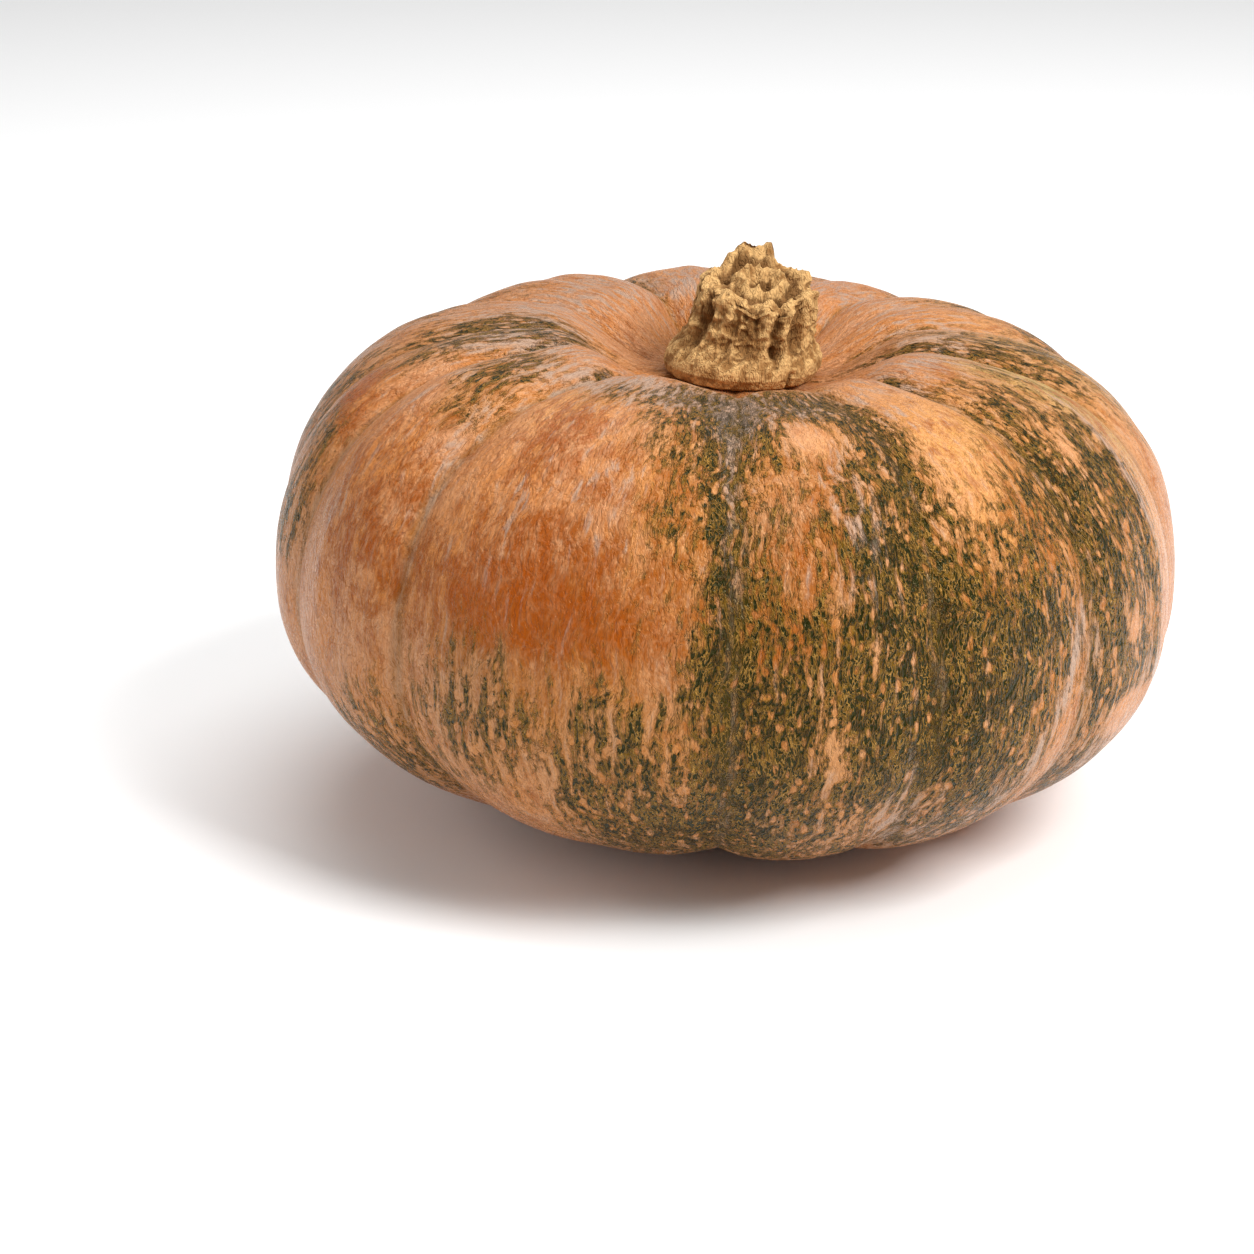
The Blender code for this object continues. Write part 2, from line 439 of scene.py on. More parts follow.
@dataclass(frozen=True)
class RindFinish:
    """The waxy rind. Colours are linear albedos, and sizes are in metres."""

    tan: Colour = (0.475, 0.208, 0.094)
    orange: Colour = (0.475, 0.168, 0.042)
    peach: Colour = (0.600, 0.305, 0.148)
    gold: Colour = (0.600, 0.272, 0.078)
    lime: Colour = (0.430, 0.340, 0.120)
    amber: Colour = (0.300, 0.055, 0.001)
    rust: Colour = (0.260, 0.062, 0.005)
    # The pale grey of waxy haze, also used for painted sheen and a painted highlight.
    bloom_and_sheen: Colour = (0.370, 0.250, 0.185)
    ochre: Colour = (0.330, 0.142, 0.020)
    olive: Colour = (0.105, 0.056, 0.003)
    green: Colour = (0.012, 0.014, 0.001)
    cream: Colour = (0.540, 0.280, 0.056)
    stretch: float = 0.55
    sway: float = 0.0045
    worm_density: float = 1200.0
    vein_density: float = 330.0
    satin: float = 0.28
    specular: float = 0.22
    specular_tint: Colour = (1.0, 0.76, 0.42)
    sheen: float = 0.02
    sheen_roughness: float = 0.35
    bump_strength: float = 0.9
    bump_depth: float = 0.0011

    def build(self, wrinkles: bpy.types.NodeTree) -> bpy.types.Material:
        """The rind's material.

        Args:
            wrinkles: The node group of fine worm-like wrinkles.

        Returns:
            The material.
        """
        material, nodes, shader = new_material("rind")
        growth = nodes.attribute("growth", "Vector")
        sway = nodes.add("TexNoise", {"Vector": growth, "Scale": 70.0, "Detail": 1.0})
        sway = nodes.vectors("SUBTRACT", sway.outputs["Color"], HALF_GREY)
        growth = nodes.vectors("ADD", growth, nodes.scaled(sway, self.sway))
        grain = nodes.vectors("MULTIPLY", growth, (1.0, 1.0, self.stretch))
        thin = nodes.vectors("MULTIPLY", growth, (1.0, 1.0, 0.42))
        fibre = nodes.vectors("MULTIPLY", growth, (1.0, 1.0, 0.13))
        tints = {tint: nodes.attribute(tint.value) for tint in Tint}
        # The mask along the deepest line of each crease, used below for painted shade and a pale line.
        hollow = nodes.attribute("hollow")
        clouds = nodes.noise(grain, 0.016, 3.0, Roughness=0.6)
        blotch = nodes.noise(nodes.vectors("ADD", grain, (3.0, 5.0, 7.0)), 0.0048, 4.0, Roughness=0.7)
        mottle = nodes.noise(grain, 0.0015, 2.0, Roughness=0.55)
        streak = nodes.noise(fibre, 0.0026, 4.0, Roughness=0.62)
        worm = place_group(
            nodes,
            wrinkles,
            {"Vector": thin, "Density": self.worm_density, "Wander": 1.6, "Line width": 0.09},
        )
        lines, relief = worm.outputs["Lines"], worm.outputs["Relief"]
        veins = place_group(
            nodes,
            wrinkles,
            {"Vector": grain, "Density": self.vein_density, "Wander": 2.2, "Line width": 0.07},
        ).outputs["Lines"]
        cells = nodes.add(
            "TexVoronoi",
            {"Vector": nodes.vectors("ADD", grain, nodes.scaled(sway, 0.003)), "Scale": 310.0},
        )
        speck = nodes.between(cells.outputs["Distance"], 0.40, 0.14)
        mixed = {"blotch": blotch, "mottle": mottle, "streak": streak, "relief": relief}
        lean = {name: nodes.maths("SUBTRACT", value, 0.5) for name, value in mixed.items()}

        # Ground colours: tan to orange in clouds, with paler streaks and soft rusty mottles.
        ground = nodes.blend(nodes.between(clouds, 0.40, 0.62), self.orange, self.tan)
        ground = nodes.blend(tints[Tint.GOLD], ground, self.gold)
        ground = nodes.blend(tints[Tint.LIME], ground, self.lime)
        plain = nodes.maths("MULTIPLY_ADD", tints[Tint.AMBER], -0.8, 1.0, clamp=True)
        faint = nodes.maths("MULTIPLY", plain, 0.6)
        wisps = nodes.maths("MULTIPLY", nodes.between(streak, 0.44, 0.74), faint)
        ground = nodes.blend(wisps, ground, self.peach)
        ripe = nodes.maths("MULTIPLY_ADD", tints[Tint.AMBER], 0.34, blotch)
        ripe = nodes.maths("MULTIPLY_ADD", lean["mottle"], 0.5, ripe)
        rusty = nodes.maths("MULTIPLY", nodes.between(ripe, 0.50, 0.68), 0.80)
        ground = nodes.blend(rusty, ground, self.rust)
        ripe = nodes.maths("MULTIPLY_ADD", lean["blotch"], 1.7, tints[Tint.AMBER])
        ground = nodes.blend(nodes.between(ripe, 0.25, 0.95), ground, self.amber)
        # Waxy haze, with the painted sheen and highlight of the crown patches, turns streaks towards the
        # pale grey.
        wax_and_sheen = nodes.maths("MULTIPLY_ADD", lean["streak"], 2.4, tints[Tint.BLOOM])
        wax_and_sheen = nodes.maths("MULTIPLY", nodes.between(wax_and_sheen, 0.20, 0.95), 0.9)
        ground = nodes.blend(wax_and_sheen, ground, self.bloom_and_sheen)
        net = nodes.maths("MULTIPLY", veins, nodes.maths("MULTIPLY", plain, 0.28))
        ground = nodes.blend(net, ground, self.peach)
        faint = nodes.maths("MULTIPLY", plain, 0.34)
        flecks = nodes.maths("MULTIPLY", nodes.between(mottle, 0.50, 0.68), faint)
        ground = nodes.blend(flecks, ground, self.peach)
        ground = nodes.blend(nodes.maths("MULTIPLY", lines, 0.28), ground, self.rust)
        ground = nodes.blend(nodes.maths("MULTIPLY", tints[Tint.PEACH], 0.6), ground, self.peach)

        # Green netting: dark green fades through olive and ochre into soft specks of the ground.
        green = nodes.maths("MULTIPLY_ADD", tints[Tint.PEACH], -0.65, tints[Tint.GREEN], clamp=True)
        some = nodes.maths("MULTIPLY", green, 3.5, clamp=True)
        shade = nodes.maths("MULTIPLY_ADD", green, 1.20, -0.76)
        for name, share in (("mottle", -1.8), ("streak", -3.6), ("blotch", -1.2)):
            shade = nodes.maths("MULTIPLY_ADD", lean[name], share, shade)
        shade = nodes.maths("MULTIPLY_ADD", speck, -0.85, shade)
        tinge = nodes.maths("MULTIPLY", nodes.between(shade, -0.80, 0.00), some)
        browned = nodes.maths("MULTIPLY_ADD", tinge, 0.45, nodes.maths("MULTIPLY", some, 0.26), clamp=True)
        colour = nodes.blend(browned, ground, self.ochre)
        olive = nodes.maths("MULTIPLY", nodes.between(shade, -0.42, 0.12), some)
        colour = nodes.blend(nodes.maths("MULTIPLY", olive, 0.9), colour, self.olive)
        worms = nodes.maths("MULTIPLY_ADD", lean["relief"], -2.6, shade)
        dark = nodes.maths("MULTIPLY", nodes.between(worms, -0.16, 0.28), some)
        colour = nodes.blend(dark, colour, self.green)
        richer = nodes.between(nodes.maths("MULTIPLY_ADD", lean["streak"], -0.8, blotch), 0.38, 0.62)
        thread = nodes.maths("MULTIPLY", nodes.between(lines, 0.05, 0.50), olive)
        thread = nodes.maths("MULTIPLY", thread, nodes.maths("MULTIPLY_ADD", richer, 0.58, 0.20))
        pale = nodes.blend(wax_and_sheen, self.ochre, self.bloom_and_sheen)
        colour = nodes.blend(thread, colour, nodes.blend(richer, pale, self.cream))
        # A painted sheen of the pale grey over streaks, where the waxy haze and painted sheen patches lie.
        haze_and_sheen = nodes.maths("MULTIPLY", wax_and_sheen, nodes.between(streak, 0.35, 0.62))
        colour = nodes.blend(nodes.maths("MULTIPLY", haze_and_sheen, 0.80), colour, self.bloom_and_sheen)

        # Painted shade: the deepest line of each crease is painted darker towards olive, with a thin pale
        # grey line along it.
        hazy = nodes.maths("MULTIPLY", hollow, nodes.between(streak, 0.44, 0.60))
        colour = nodes.blend(nodes.maths("MULTIPLY", hollow, 0.38), colour, self.olive)
        colour = nodes.blend(nodes.maths("MULTIPLY", hazy, 0.26), colour, self.bloom_and_sheen)

        rough = nodes.maths("MULTIPLY_ADD", mottle, 0.20, self.satin - 0.10)
        height = nodes.maths("MULTIPLY_ADD", lines, nodes.maths("MULTIPLY_ADD", tinge, 1.1, 0.15), relief)
        height = nodes.maths("MULTIPLY_ADD", mottle, 1.3, height)
        height = nodes.maths("MULTIPLY", height, nodes.maths("MULTIPLY_ADD", tinge, 0.5, 0.60))
        bump = nodes.add(
            "Bump",
            {"Strength": self.bump_strength, "Distance": self.bump_depth, "Height": height},
        )
        nodes.give(shader.inputs["Base Color"], colour)
        nodes.give(shader.inputs["Roughness"], rough)
        nodes.give(shader.inputs["Normal"], bump.outputs["Normal"])
        shader.inputs["Specular IOR Level"].default_value = self.specular
        shader.inputs["Specular Tint"].default_value = (*self.specular_tint, 1.0)
        shader.inputs["Sheen Weight"].default_value = self.sheen
        shader.inputs["Sheen Roughness"].default_value = self.sheen_roughness
        return material


@dataclass
class Fruit:
    """The ribbed fruit, one solid with a small flat foot, a blossom end and a seat for the stem."""

    half_width: float = 0.125
    underside: float = 0.0671
    crest_height: float = 0.0686
    crest_radius: float = 0.053
    seat_radius: float = 0.022
    seat_depth: float = 0.0124
    blossom_radius: float = 0.009
    blossom_depth: float = 0.0012
    underside_fullness: float = 2.13
    crown_fullness: float = 2.31
    lean: float = math.radians(2.3)
    foot_flatness: float = 0.0012
    lobe_fullness: float = 2.6
    crease_softness: float = 0.055
    side_share: float = 0.62
    underside_fade: float = 0.075
    crown_fade: float = 0.038
    shoulder_station: float = 0.22
    shoulder_fade: float = 0.04
    fold_fade: float = 0.03
    wander_degrees: float = 1.6
    unevenness: float = 0.0007
    ripple_height: float = 0.00018
    crease_line: float = 0.07
    segments: int = 384
    rows: int = 240
    creases: tuple[Crease, ...] = (
        Crease(1, 0.0041, crown=0.50),
        Crease(26, 0.0032, crown=0.55),
        Crease(50, 0.0042, 0.0008),
        Crease(80, 0.0040, 0.0008),
        Crease(106, 0.0036, 0.0008),
        Crease(144, 0.0045),
        Crease(176, 0.0038),
        Crease(205, 0.0045),
        Crease(240, 0.0045),
        Crease(274, 0.0034),
        Crease(291, 0.0050),
        Crease(316, 0.0060),
    )
    folds: tuple[Fold, ...] = (
        Fold(8, -0.0036, 25, 0.236, 0.300),
        Fold(-33, -0.0006, 2.0, 0.18, 0.30),
        Fold(-22, -0.0005, 1.2, 0.15, 0.27),
        Fold(-12, 0.0004, 2.0, 0.14, 0.26),
        Fold(14, -0.0005, 2.5, 0.20, 0.29),
        Fold(38, -0.0005, 2.5, 0.20, 0.30),
        Fold(67, 0.0006, 1.5, 0.12, 0.27),
        Fold(-59, 0.0006, 1.5, 0.14, 0.29),
        Fold(95, -0.0006, 2.5, 0.16, 0.30),
        Fold(125, -0.0009, 3.0, 0.14, 0.30),
        Fold(160, -0.0006, 2.0, 0.12, 0.29),
        Fold(190, 0.0006, 2.0, 0.12, 0.29),
        Fold(222, -0.0008, 2.5, 0.12, 0.29),
        Fold(251, -0.0006, 2.0, 0.14, 0.30),
    )
    scars: tuple[Scar, ...] = (
        Scar(-8, 0.205, 0.0012, -0.0005),
        Scar(-11, 0.195, 0.0014, -0.0004),
        Scar(-5, 0.190, 0.0009, 0.0004),
        Scar(16, 0.115, 0.0011, -0.0005),
        Scar(18, 0.148, 0.0008, 0.0005),
        Scar(-30, 0.212, 0.0010, -0.0003),
        Scar(41, 0.190, 0.0012, 0.0004),
        Scar(100, 0.180, 0.0014, -0.0005),
        Scar(150, 0.150, 0.0013, -0.0006),
        Scar(210, 0.200, 0.0015, -0.0005),
        Scar(260, 0.170, 0.0012, 0.0005),
    )
    patches: dict[Tint, tuple[Patch, ...]] = field(default_factory=dict)

    def outline(self) -> np.ndarray:
        """The half outline as rows of (radius, height, station), evenly spaced along the rind."""
        turn = np.linspace(0, math.pi / 2, FINE_STEPS)
        sine, cosine = np.sin(turn), np.cos(turn)
        share = np.linspace(0, 1, 40)
        seat = np.linspace(1, 0, 200)
        low, high = 2 / self.underside_fullness, 2 / self.crown_fullness
        radius = [
            self.blossom_radius * share[:-1],
            mix(self.blossom_radius, self.half_width, sine**low)[:-1],
            mix(self.crest_radius, self.half_width, cosine**high)[:-1],
            self.crest_radius * seat,
        ]
        fall = smooth(self.crest_radius * (1 - seat) / (self.crest_radius - self.seat_radius))
        height = [
            self.blossom_depth * smooth(1 - share[:-1]) - self.underside,
            -self.underside * (cosine**low)[:-1],
            self.crest_height * (sine**high)[:-1],
            self.crest_height - self.seat_depth * fall,
        ]
        radius, height = np.concatenate(radius), np.concatenate(height)
        steps = np.hypot(np.diff(radius), np.diff(height))
        station = np.concatenate([[0.0], np.cumsum(steps)])
        even = np.linspace(0, station[-1], self.rows)
        return np.column_stack(
            [np.interp(even, station, radius), np.interp(even, station, height), even]
        )

    def lobes(
        self, degrees: np.ndarray, station: np.ndarray
    ) -> tuple[np.ndarray, np.ndarray, np.ndarray]:
        """The cross-section of the lobes.

        Args:
            degrees: Azimuths.
            station: Stations.

        Returns:
            The crease depth at each azimuth, how deep in a crease it is from 0 to 1, and the swell.
        """
        first = self.creases[0].azimuth
        around = np.where(degrees % 360 < first, degrees % 360 + 360, degrees % 360)
        starts = np.array([crease.azimuth for crease in self.creases])
        ends = np.append(starts[1:], starts[0] + 360)
        depths = np.array([crease.depth for crease in self.creases])
        swells = np.array([crease.swell for crease in self.creases])
        lobe = np.searchsorted(starts, around, side="right") - 1
        across = (around - starts[lobe]) / (ends[lobe] - starts[lobe])
        depth = np.where(across < 0.5, depths[lobe], np.roll(depths, -1)[lobe])
        height = 1 - np.abs(2 * across - 1) ** self.lobe_fullness
        soft = self.crease_softness
        rounded = (np.hypot(height, soft) - soft) / (math.hypot(1, soft) - soft)
        crowns = np.array([crease.crown for crease in self.creases])
        crown = np.where(across < 0.5, crowns[lobe], np.roll(crowns, -1)[lobe])
        depth = depth * mix(1, crown, smooth((station - self.shoulder_station) / self.shoulder_fade))
        return depth * (1 - rounded), 1 - rounded, swells[lobe] * rounded

    def crease_share(self, radius: np.ndarray, height: np.ndarray) -> np.ndarray:
        """The share of a crease's depth left at each place on the outline."""
        reach = np.where(height > 0, self.crest_height, self.underside)
        share = mix(self.side_share, 1, np.minimum(np.abs(height) / reach, 1) ** 2)
        fade = np.where(height > 0, self.crown_fade, self.underside_fade)
        return share * smooth(radius / fade)

    def tint(self, tint: Tint, degrees: np.ndarray, station: np.ndarray) -> np.ndarray:
        """How much of a tint each place has, from 0 to about 1."""
        left = np.ones_like(degrees)
        for patch in self.patches.get(tint, ()):
            above = station * MM_PER_METRE - patch.station
            near = bell(turn_between(degrees - patch.slant * above, patch.azimuth), patch.across)
            near *= bell(above, patch.along)
            left *= 1 - np.clip(near * patch.strength, 0, 1)
        return 1 - left

    def build(self, material: bpy.types.Material) -> tuple[bpy.types.Object, Matrix]:
        """The fruit's piece.

        Args:
            material: The rind.

        Returns:
            The piece, and the matrix that takes the upright fruit's own space to where it stands.
        """
        mesh = spin_outline(self.outline(), self.segments)
        points, normals = read_points(mesh), point_normals(mesh)
        station = read_values(mesh, "station")
        radius, height = np.hypot(points[:, 0], points[:, 1]), points[:, 2]
        degrees = np.degrees(np.arctan2(points[:, 0], -points[:, 1]))
        unit = points / np.maximum(np.linalg.norm(points, axis=1, keepdims=True), MERGE_DISTANCE)

        wander = sampled(unit * 2.2, noise.noise)
        turned = degrees + self.wander_degrees * wander
        depth, hollow, swell = self.lobes(turned, station)
        share = self.crease_share(radius, height)
        sink = depth * share - swell * smooth(height / self.crest_height) * share
        for fold in self.folds:
            within = smooth((station - fold.low) / self.fold_fade)
            within = within * smooth((fold.high - station) / self.fold_fade)
            sink -= fold.height * bell(turn_between(turned, fold.azimuth), fold.spread) * within
        for scar in self.scars:
            across = np.radians(turn_between(degrees, scar.azimuth)) * radius
            sink -= scar.height * bell(np.hypot(across, station - scar.station), scar.size)
        uneven = sampled(unit * 5.0 + 7.0, noise.noise)
        ripple = np.column_stack([unit[:, 0], unit[:, 1], unit[:, 2] * 0.15]) * 30
        fine = self.ripple_height * sampled(ripple, noise.noise)
        sink += self.unevenness * uneven * share + fine * share
        points -= normals * sink[:, None]

        around = np.radians(degrees)
        spread = mix(self.half_width, radius, 0.35)
        growth = np.column_stack([np.sin(around) * spread, -np.cos(around) * spread, station])
        write_attribute(mesh, "growth", growth)
        # A mask along the deepest line of each crease, which the rind reads for painted crease shade and a
        # pale line.
        crease_shade_and_haze = bell(1 - hollow, self.crease_line) * smooth(share * 2)
        write_attribute(mesh, "hollow", crease_shade_and_haze)
        for tint in Tint:
            write_attribute(mesh, tint.value, self.tint(tint, turned, station))

        lean = Matrix.Rotation(self.lean, 4, "Y")
        points = points @ np.array(lean.to_3x3()).T
        points[:, 2] = np.maximum(points[:, 2], points[:, 2].min() + self.foot_flatness)
        low, high = map(np.array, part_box("fruit"))
        middle = (points.min(axis=0) + points.max(axis=0)) / 2
        move = (low + high) / 2 - middle
        move[2] = low[2] - points[:, 2].min()
        write_points(mesh, points + move)
        piece = finish_piece(mesh, "fruit_rind", material, "fruit")
        return piece, Matrix.Translation(Vector(move)) @ lean


# ---------------------------------------------------------------------------------------------------
# The stem
# ---------------------------------------------------------------------------------------------------


@dataclass(frozen=True)
class CorkFinish:
    """The dry, corky skin of the stem. Colours are linear albedos."""

    straw: Colour = (0.610, 0.360, 0.140)
    cork: Colour = (0.290, 0.138, 0.040)
    # pit is the dark brown that painted shade in furrows and hollows, and the fine lines, turn towards.
    pit: Colour = (0.185, 0.086, 0.024)
    roughness: float = 0.80
    specular: float = 0.20
    bump_strength: float = 0.8
    bump_depth: float = 0.0007

    def build(self, wrinkles: bpy.types.NodeTree) -> bpy.types.Material:
        """The stem's material.

        Args:
            wrinkles: The node group of fine worm-like wrinkles.

        Returns:
            The material.
        """
        material, nodes, shader = new_material("cork")
        place = nodes.add("TexCoord").outputs["Object"]
        upright = nodes.vectors("MULTIPLY", place, (1.0, 1.0, 0.35))
        worm = place_group(
            nodes, wrinkles, {"Vector": upright, "Density": 1000.0, "Wander": 2.0, "Line width": 0.10}
        )
        lines, relief = worm.outputs["Lines"], worm.outputs["Relief"]
        painted_depth_shade, painted_ridge_light = nodes.attribute("painted_depth_shade"), nodes.attribute("painted_ridge_light")
        clouds = nodes.noise(place, 0.0035, 4.0, Roughness=0.65)
        grains = nodes.noise(place, 0.0007, 2.0)
        # Painted highlight and shade from the ridge light attribute, mixed with random clouds of tone.
        bright = nodes.maths("MULTIPLY_ADD", nodes.maths("SUBTRACT", clouds, 0.5), 2.4, painted_ridge_light)
        colour = nodes.blend(nodes.between(bright, 0.15, 1.05), self.cork, self.straw)
        # Painted shade: darker towards the pit colour where the stem's surface sinks, by its depth
        # attribute.
        deep = nodes.maths("MULTIPLY_ADD", nodes.maths("SUBTRACT", relief, 0.5), 0.8, painted_depth_shade)
        colour = nodes.blend(nodes.between(deep, 0.20, 0.95), colour, self.pit)
        colour = nodes.blend(nodes.maths("MULTIPLY", lines, 0.20), colour, self.pit)
        height = nodes.maths("MULTIPLY_ADD", clouds, 1.2, relief)
        height = nodes.maths("MULTIPLY_ADD", lines, -0.5, height)
        height = nodes.maths("MULTIPLY_ADD", grains, 0.5, height)
        bump = nodes.add(
            "Bump",
            {"Strength": self.bump_strength, "Distance": self.bump_depth, "Height": height},
        )
        nodes.give(shader.inputs["Base Color"], colour)
        nodes.give(shader.inputs["Normal"], bump.outputs["Normal"])
        shader.inputs["Roughness"].default_value = self.roughness
        shader.inputs["Specular IOR Level"].default_value = self.specular
        return material


@dataclass(frozen=True)
class Furrow:
    """A furrow down the stem's neck: its azimuth and spread in degrees, and its depth in metres."""

    azimuth: float
    spread: float
    depth: float


@dataclass(frozen=True)
class Jag:
    """A point on the stem's broken rim: azimuth and spread in degrees, and height in metres."""

    azimuth: float
    spread: float
    height: float


@dataclass(frozen=True)
class Pit:
    """A hollow in the stem's broken end.

    azimuth is in degrees, out is its middle as a share of the rim's radius, and spread and depth are in
    metres.
    """

    azimuth: float
    out: float
    spread: float
    depth: float


@dataclass
class Stem:
    """The dry stem: a round collar, a deeply furrowed neck and a broken, hollow end."""

    seat_height: float
    shift: float = 0.0014
    lean: float = math.radians(10)
    collar_height: float = 0.0086
    height: float = 0.0260
    rim: float = 0.0158
    rim_station: float = 0.0480
    lip_height: float = 0.0205
    lip_fade: float = 0.0035
    tilt_front: float = math.radians(13)
    tilt_side: float = math.radians(5)
    crack_azimuth: float = 40.0
    crack_spread: float = 1.3
    crack_top: float = 0.0062
    crack_depth: float = 0.0014
    rows: int = 250
    segments: int = 336
    outline_points: tuple[tuple[float, float], ...] = (
        (0.0000, -0.0004),
        (0.0172, -0.0004),
        (0.0204, 0.0008),
        (0.0216, 0.0034),
        (0.0212, 0.0062),
        (0.0196, 0.0088),
        (0.0179, 0.0118),
        (0.0172, 0.0165),
        (0.0168, 0.0210),
        (0.0164, 0.0244),
        (0.0150, 0.0262),
        (0.0126, 0.0262),
        (0.0094, 0.0256),
        (0.0062, 0.0252),
        (0.0034, 0.0250),
        (0.0000, 0.0248),
    )
    furrows: tuple[Furrow, ...] = (
        Furrow(-88, 6, 0.0016),
        Furrow(-55, 6, 0.0022),
        Furrow(-20, 4, 0.0014),
        Furrow(-4, 7, 0.0018),
        Furrow(24, 3.5, 0.0034),
        Furrow(46, 5, 0.0021),
        Furrow(78, 5, 0.0022),
        Furrow(110, 7, 0.0024),
        Furrow(140, 6, 0.0020),
        Furrow(172, 6, 0.0024),
        Furrow(206, 7, 0.0020),
        Furrow(240, 6, 0.0024),
    )
    jags: tuple[Jag, ...] = (
        Jag(206, 7, 0.0040),
        Jag(190, 8, 0.0034),
        Jag(175, 4, 0.0046),
        Jag(232, 8, -0.0016),
        Jag(152, 8, -0.0014),
        Jag(-33, 8, 0.0010),
        Jag(14, 6, 0.0008),
        Jag(60, 9, 0.0010),
        Jag(-2, 7, -0.0016),
        Jag(30, 4, -0.0012),
        Jag(100, 8, -0.0010),
    )
    pits: tuple[Pit, ...] = (
        Pit(20, 0.06, 0.0034, 0.0085),
        Pit(84, 0.62, 0.0026, 0.0050),
        Pit(60, 0.44, 0.0013, 0.0022),
        Pit(-146, 0.68, 0.0022, 0.0048),
        Pit(150, 0.62, 0.0019, 0.0036),
        Pit(-42, 0.60, 0.0015, 0.0026),
        Pit(6, 0.52, 0.0013, 0.0026),
        Pit(34, 0.62, 0.0016, 0.0034),
        Pit(-92, 0.62, 0.0017, 0.0030),
        Pit(-172, 0.55, 0.0015, 0.0026),
    )

    def outline(self) -> np.ndarray:
        """The half outline as rows of (radius, height, station), with fine even steps."""
        rows = np.array(self.outline_points)
        knots = np.concatenate([[0], np.cumsum(np.hypot(*np.diff(rows, axis=0).T))])
        even = np.linspace(0, knots[-1], self.rows)
        return np.column_stack(
            [np.interp(even, knots, rows[:, 0]), np.interp(even, knots, rows[:, 1]), even]
        )

    def build(self, material: bpy.types.Material, place: Matrix) -> bpy.types.Object:
        """The stem's piece.

        Args:
            material: The cork.
            place: The matrix from the upright fruit's own space to where it stands.

        Returns:
            The piece.
        """
        mesh = spin_outline(self.outline(), self.segments)
        points, normals = read_points(mesh), point_normals(mesh)
        station = read_values(mesh, "station")
        radius, height = np.hypot(points[:, 0], points[:, 1]), points[:, 2].copy()
        degrees = np.degrees(np.arctan2(points[:, 0], -points[:, 1]))
        out = radius / self.rim
        above = station > self.rim_station
        neck = smooth((height - self.collar_height * 0.5) / (self.collar_height * 0.7))
        side = np.where(above, smooth((out - 0.70) / 0.25), 1.0) * neck
        lip = smooth((height - self.lip_height) / self.lip_fade)

        bent = degrees + 5 * sampled(points * 80, noise.noise) + 2 * sampled(points * 260, noise.noise)
        cut = np.zeros_like(degrees)
        for furrow in self.furrows:
            cut = np.maximum(cut, furrow.depth * bell(turn_between(bent, furrow.azimuth), furrow.spread))
        cut *= side * (1 - 0.45 * lip) * mix(0.65, 1.25, smooth((height - 0.008) / 0.012))
        knobs = sampled(points * 300, noise.noise)
        lumps = 1 - 2 * np.abs(sampled(points * 240 + 4.0, noise.noise))
        rough = sampled(points * 750 + 3.0, noise.noise)
        grooves = np.abs(sampled(points * np.array([620, 620, 150]) + 5.0, noise.noise))
        webs = np.abs(sampled(points * np.array([330, 330, 280]) + 9.0, noise.noise))
        sink = cut * (0.75 + 0.9 * webs) + 0.0008 * knobs * mix(0.35, 1, neck)
        sink += 0.0005 * rough * mix(0.12, 1, neck) + 0.0011 * (grooves - 0.2) * side
        sink -= 0.0011 * (lumps - 0.6) * (0.25 + lip) * neck
        crack = bell(turn_between(bent, self.crack_azimuth), self.crack_spread)
        crack = crack * smooth((self.crack_top - height) / 0.002)
        sink += self.crack_depth * crack * (radius > 0.015)
        top = smooth((station - self.rim_station) / 0.003) * above
        hollow = -0.0022 * bell(out - 0.38, 0.08) * (1 + 0.8 * knobs) - 0.0006 * np.abs(rough)
        hollow += 0.0018 * bell(out - 0.62, 0.10)
        for pit in self.pits:
            turn = math.radians(pit.azimuth)
            middle = np.array([math.sin(turn), -math.cos(turn)]) * pit.out * self.rim
            away = np.hypot(*(points[:, :2] + 0.0008 * knobs[:, None] - middle).T)
            hollow += pit.depth * np.exp(-((away / pit.spread) ** 3))
        points -= normals * sink[:, None]
        points[:, 2] -= top * hollow

        around = np.radians(degrees)
        fall = -np.cos(around) * math.tan(self.tilt_front)
        fall -= np.sin(around) * math.tan(self.tilt_side)
        jagged = sum(jag.height * bell(turn_between(degrees, jag.azimuth), jag.spread) for jag in self.jags)
        jagged *= smooth(2.4 * out - 1.3)
        up = np.clip((height - self.collar_height) / (self.height - self.collar_height), 0, 1)
        points[:, 2] += up * (self.rim * np.minimum(out, 1) * fall) + up**2 * jagged

        # Painted shade: darker by the depth of the furrows and their webs, the crack, grooves, knobs and
        # the hollows of the broken end.
        painted_depth_shade = cut / 0.0048 + 0.6 * smooth((0.16 - webs) / 0.12) * smooth(cut / 0.0012) + 0.8 * crack
        painted_depth_shade += top * np.clip(hollow / 0.0022, 0, 1) * 1.2 + 0.35 * np.maximum(knobs, 0) * neck
        painted_depth_shade += 0.8 * smooth((grooves - 0.25) / 0.2) * side * smooth(cut / 0.0010)
        # Painted highlight and shade: paler where knobs, grain and lumps stand out and on the lip, darker
        # in the furrows.
        painted_ridge_light = 0.75 - 1.0 * knobs - 0.6 * rough - cut / 0.0030 + 0.3 * lip * (1 - top) + 0.3 * lumps * lip
        write_attribute(mesh, "painted_depth_shade", np.clip(painted_depth_shade, 0, 1))
        write_attribute(mesh, "painted_ridge_light", np.clip(painted_ridge_light, -1, 1))
        shear = Matrix.Shear("XY", 4, (math.tan(self.lean), 0))
        seat = Matrix.Translation((self.shift, 0, self.seat_height))
        matrix = np.array(place @ seat @ shear)
        write_points(mesh, points @ matrix[:3, :3].T + matrix[:3, 3])
        return finish_piece(mesh, "stem_cork", material, "stem")


# ---------------------------------------------------------------------------------------------------
# The studio
# ---------------------------------------------------------------------------------------------------


@dataclass(frozen=True)
class Softbox:
    """A square soft light aimed at the fruit."""

    name: str
    place: tuple[float, float, float]
    size: float
    power: float


